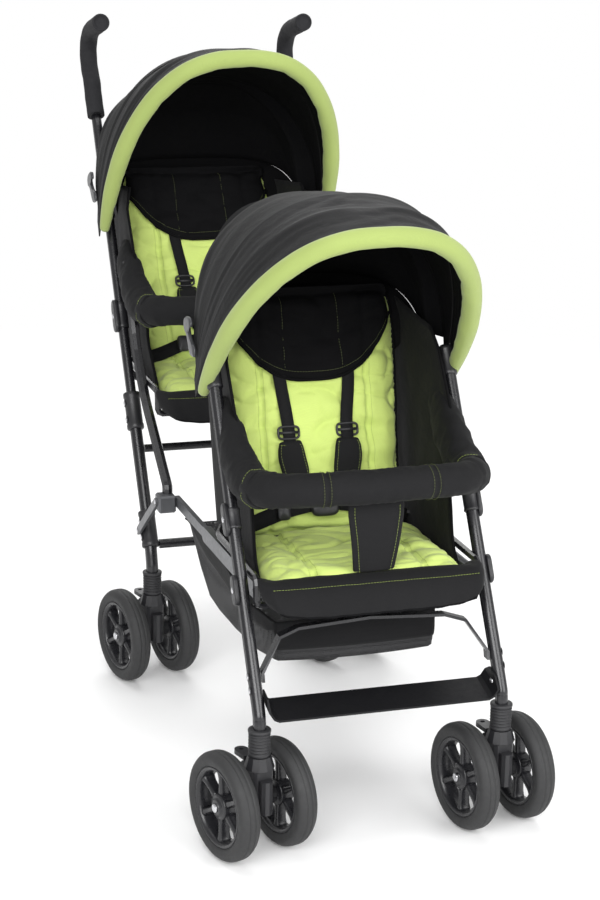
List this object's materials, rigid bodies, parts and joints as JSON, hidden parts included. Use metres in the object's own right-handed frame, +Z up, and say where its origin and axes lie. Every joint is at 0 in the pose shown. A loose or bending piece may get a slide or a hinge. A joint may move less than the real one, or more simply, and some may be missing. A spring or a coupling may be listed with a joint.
{
  "type": "double stroller",
  "caption": "Tandem double stroller: padded lime seats one behind the other under black hoods, bumper bars, curved handles, basket and twin-wheel swivel casters.",
  "frame": {"origin": "on the floor, in the middle of the overall length, between the left and right wheels", "axes": "+Y to the rear, where the handles are; +X to the right seen from the front; +Z up"},
  "size_m": [0.5178, 1.2347, 1.0992],
  "materials": {
    "tyre": "matt foam tyre",
    "axle_steel": "bright",
    "black_plastic": "satin moulded",
    "boot_rubber": "matt ribbed",
    "grip_foam": "matt foam",
    "grey_metal": "satin dark grey",
    "frame_paint": "gloss black",
    "lime_fabric": "padded woven",
    "black_fabric": "padded woven",
    "mesh_fabric": "open mesh"
  },
  "bodies": {
    "rear_frame": {"rear_leg_left": "frame_paint", "rear_leg_right": "frame_paint", "rear_boot_left": "boot_rubber", "rear_boot_right": "boot_rubber", "rear_bracket_left": "grey_metal", "rear_bracket_right": "grey_metal", "handle_grip_left": "grip_foam", "handle_grip_right": "grip_foam", "rear_cross_frame": "frame_paint", "rear_seat_frame": "frame_paint", "rear_seat": "lime_fabric", "rear_bumper": "black_fabric", "rear_canopy_back": "black_fabric"},
    "rails": {"side_rail_left": "grey_metal", "side_rail_right": "grey_metal", "basket": "mesh_fabric"},
    "front_frame": {"front_leg_left": "frame_paint", "front_leg_right": "frame_paint", "front_boot_left": "boot_rubber", "front_boot_right": "boot_rubber", "front_seat_frame": "frame_paint", "front_brace": "frame_paint", "front_seat": "lime_fabric", "front_bumper": "black_fabric", "front_canopy_back": "black_fabric"},
    "footrest": {"footrest": "frame_paint"},
    "front_back": {"front_backrest": "lime_fabric", "front_harness": "black_fabric"},
    "rear_back": {"rear_backrest": "lime_fabric", "rear_harness": "black_fabric"},
    "front_hood": {"front_canopy": "black_fabric"},
    "rear_hood": {"rear_canopy": "black_fabric"},
    "front_left_caster": {"front_left_fork": "black_plastic", "front_left_axle": "axle_steel"},
    "front_left_lever": {"front_left_lever": "black_plastic"},
    "front_left_inner_wheel": {"front_left_inner_tyre": "tyre", "front_left_inner_rim": "black_plastic"},
    "front_left_outer_wheel": {"front_left_outer_tyre": "tyre", "front_left_outer_rim": "black_plastic"},
    "front_right_caster": {"front_right_fork": "black_plastic", "front_right_axle": "axle_steel"},
    "front_right_lever": {"front_right_lever": "black_plastic"},
    "front_right_inner_wheel": {"front_right_inner_tyre": "tyre", "front_right_inner_rim": "black_plastic"},
    "front_right_outer_wheel": {"front_right_outer_tyre": "tyre", "front_right_outer_rim": "black_plastic"},
    "rear_left_caster": {"rear_left_fork": "black_plastic", "rear_left_axle": "axle_steel"},
    "rear_left_lever": {"rear_left_lever": "black_plastic"},
    "rear_left_inner_wheel": {"rear_left_inner_tyre": "tyre", "rear_left_inner_rim": "black_plastic"},
    "rear_left_outer_wheel": {"rear_left_outer_tyre": "tyre", "rear_left_outer_rim": "black_plastic"},
    "rear_right_caster": {"rear_right_fork": "black_plastic", "rear_right_axle": "axle_steel"},
    "rear_right_lever": {"rear_right_lever": "black_plastic"},
    "rear_right_inner_wheel": {"rear_right_inner_tyre": "tyre", "rear_right_inner_rim": "black_plastic"},
    "rear_right_outer_wheel": {"rear_right_outer_tyre": "tyre", "rear_right_outer_rim": "black_plastic"}
  },
  "joints": [
    {"name": "fold", "type": "hinge", "parent": "rear_frame", "child": "rails", "pos_m": [0, 0.033, 0.35], "axis": [-1, 0, 0], "range_deg": [0, 38]},
    {"name": "fold_front", "type": "hinge", "parent": "rails", "child": "front_frame", "pos_m": [0, -0.44798, 0.361], "axis": [-1, 0, 0], "range_deg": [-38, 0]},
    {"name": "footrest_fold", "type": "hinge", "parent": "front_frame", "child": "footrest", "pos_m": [0, -0.53221, 0.222], "axis": [1, 0, 0], "range_deg": [0, 50]},
    {"name": "front_recline", "type": "hinge", "parent": "front_frame", "child": "front_back", "pos_m": [0, -0.252, 0.377], "axis": [-1, 0, 0], "range_deg": [0, 12]},
    {"name": "rear_recline", "type": "hinge", "parent": "rear_frame", "child": "rear_back", "pos_m": [0, 0.373, 0.497], "axis": [-1, 0, 0], "range_deg": [-12, 0]},
    {"name": "front_hood_turn", "type": "hinge", "parent": "front_frame", "child": "front_hood", "pos_m": [0, -0.247, 0.64], "axis": [-1, 0, 0], "range_deg": [0, 11]},
    {"name": "rear_hood_turn", "type": "hinge", "parent": "rear_frame", "child": "rear_hood", "pos_m": [0, 0.421, 0.768], "axis": [-1, 0, 0], "range_deg": [0, 11]},
    {"name": "front_left_swivel", "type": "hinge", "parent": "front_frame", "child": "front_left_caster", "pos_m": [-0.1815, -0.542, 0.1], "axis": [0, 0, 1], "continuous": true},
    {"name": "front_left_lock", "type": "hinge", "parent": "front_left_caster", "child": "front_left_lever", "pos_m": [-0.18806, -0.51912, 0.1363], "axis": [0.9613, 0.2756, 0], "range_deg": [0, 25]},
    {"name": "front_left_inner_spin", "type": "hinge", "parent": "front_left_caster", "child": "front_left_inner_wheel", "pos_m": [-0.14092, -0.51372, 0.079], "axis": [0.9613, 0.2756, 0], "continuous": true},
    {"name": "front_left_outer_spin", "type": "hinge", "parent": "front_left_caster", "child": "front_left_outer_wheel", "pos_m": [-0.2309, -0.53952, 0.079], "axis": [0.9613, 0.2756, 0], "continuous": true},
    {"name": "front_right_swivel", "type": "hinge", "parent": "front_frame", "child": "front_right_caster", "pos_m": [0.1815, -0.542, 0.1], "axis": [0, 0, 1], "continuous": true},
    {"name": "front_right_lock", "type": "hinge", "parent": "front_right_caster", "child": "front_right_lever", "pos_m": [0.17757, -0.51853, 0.1363], "axis": [0.9863, 0.165, 0], "range_deg": [0, 25]},
    {"name": "front_right_inner_spin", "type": "hinge", "parent": "front_right_caster", "child": "front_right_inner_wheel", "pos_m": [0.1327, -0.53394, 0.079], "axis": [0.9863, 0.165, 0], "continuous": true},
    {"name": "front_right_outer_spin", "type": "hinge", "parent": "front_right_caster", "child": "front_right_outer_wheel", "pos_m": [0.22502, -0.5185, 0.079], "axis": [0.9863, 0.165, 0], "continuous": true},
    {"name": "rear_left_swivel", "type": "hinge", "parent": "rear_frame", "child": "rear_left_caster", "pos_m": [-0.1757, 0.145, 0.1], "axis": [0, 0, 1], "continuous": true},
    {"name": "rear_left_lock", "type": "hinge", "parent": "rear_left_caster", "child": "rear_left_lever", "pos_m": [-0.18134, 0.16812, 0.1363], "axis": [0.9715, 0.2368, 0], "range_deg": [0, 25]},
    {"name": "rear_left_inner_spin", "type": "hinge", "parent": "rear_left_caster", "child": "rear_left_inner_wheel", "pos_m": [-0.13402, 0.17163, 0.079], "axis": [0.9715, 0.2368, 0], "continuous": true},
    {"name": "rear_left_outer_spin", "type": "hinge", "parent": "rear_left_caster", "child": "rear_left_outer_wheel", "pos_m": [-0.22496, 0.14946, 0.079], "axis": [0.9715, 0.2368, 0], "continuous": true},
    {"name": "rear_right_swivel", "type": "hinge", "parent": "rear_frame", "child": "rear_right_caster", "pos_m": [0.1757, 0.145, 0.1], "axis": [0, 0, 1], "continuous": true},
    {"name": "rear_right_lock", "type": "hinge", "parent": "rear_right_caster", "child": "rear_right_lever", "pos_m": [0.16834, 0.16764, 0.1363], "axis": [0.9511, 0.309, 0], "range_deg": [0, 25]},
    {"name": "rear_right_inner_spin", "type": "hinge", "parent": "rear_right_caster", "child": "rear_right_inner_wheel", "pos_m": [0.12625, 0.14575, 0.079], "axis": [0.9511, 0.309, 0], "continuous": true},
    {"name": "rear_right_outer_spin", "type": "hinge", "parent": "rear_right_caster", "child": "rear_right_outer_wheel", "pos_m": [0.21527, 0.17468, 0.079], "axis": [0.9511, 0.309, 0], "continuous": true}
  ],
  "couplings": [
    {"joint": "fold_front", "follows": "fold", "ratio": -1}
  ]
}
